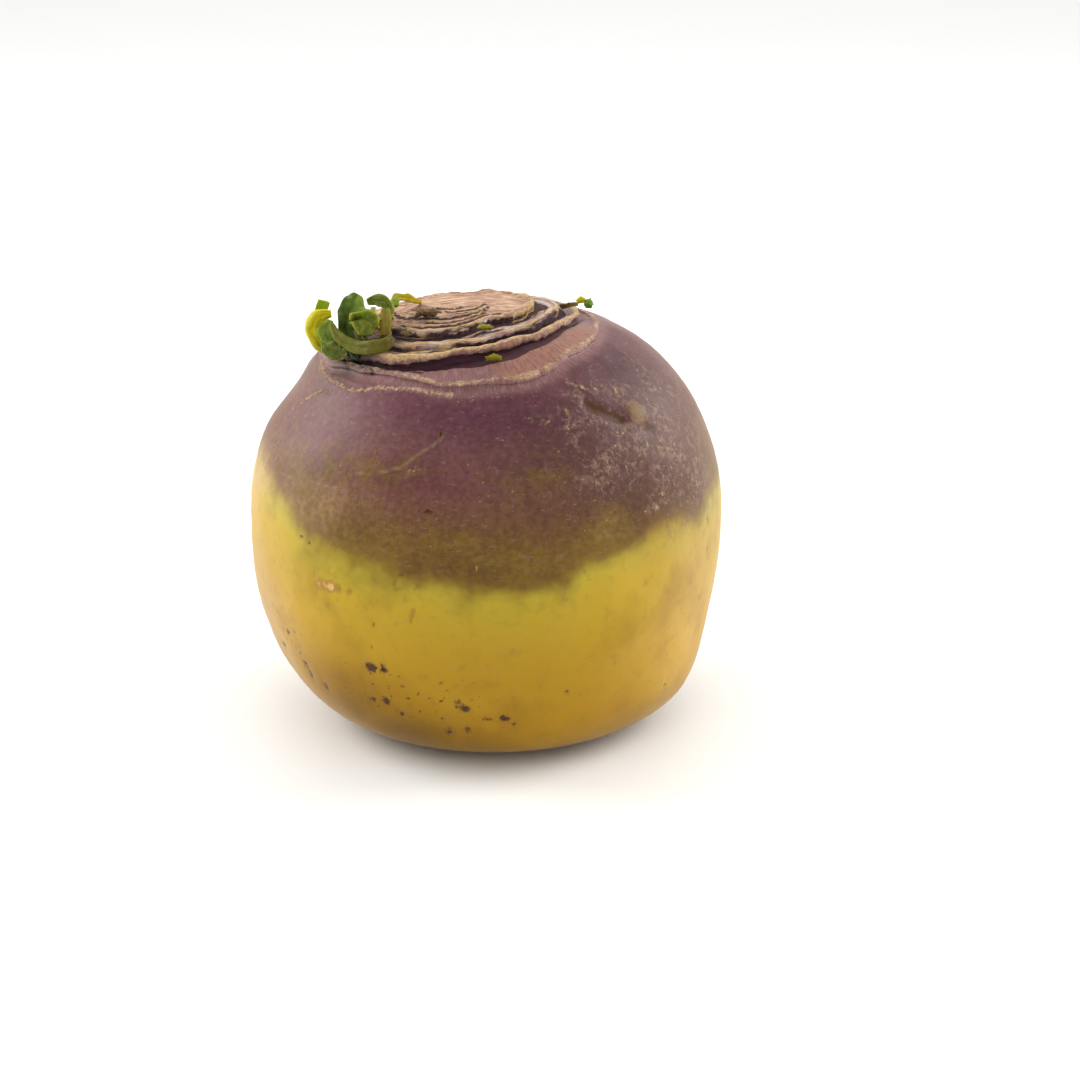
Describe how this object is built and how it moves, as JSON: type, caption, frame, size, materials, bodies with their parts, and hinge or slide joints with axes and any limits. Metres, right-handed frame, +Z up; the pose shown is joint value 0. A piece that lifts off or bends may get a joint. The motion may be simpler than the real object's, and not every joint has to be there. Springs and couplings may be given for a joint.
{
  "type": "rutabaga",
  "caption": "Whole rutabaga root with a stepped crown of leaf scars, purple shoulder, yellow lower half and a small tuft of new leaves; stands on a flat spot.",
  "frame": {"origin": "centre of the flat spot that the root rests on", "axes": "+Z up along the root's axis to the crown, -Y to the front, where the tuft of leaves leans out over the left shoulder, +X to the right"},
  "size_m": [0.1246, 0.1232, 0.1153],
  "materials": {
    "root_skin": "satin",
    "young_leaf": "satin",
    "yellowing_leaf": "satin",
    "dark_leaf": "satin",
    "leaf_stalk": "satin",
    "leaf_bud": "satin",
    "withered_leaf": "matte"
  },
  "bodies": {
    "root": {"root": "root_skin", "left_leaf_tab": "young_leaf", "yellow_curled_leaf": "yellowing_leaf", "pale_inner_leaf": "young_leaf", "tall_leaf_blade": "dark_leaf", "arched_leaf": "dark_leaf", "mustard_leaf_stalk": "yellowing_leaf", "thin_leaf_stalk": "yellowing_leaf", "rolled_leaf": "dark_leaf", "front_leaf_stalk": "leaf_stalk", "folded_leaf": "leaf_stalk", "hanging_leaf_tip": "dark_leaf", "crown_leaf_strip": "yellowing_leaf", "right_sprout_stem": "withered_leaf", "right_sprout_tip": "yellowing_leaf", "right_sprout_bud": "young_leaf", "front_bud": "leaf_bud", "terrace_bud": "leaf_bud", "withered_leaf_stub": "withered_leaf"}
  },
  "joints": []
}
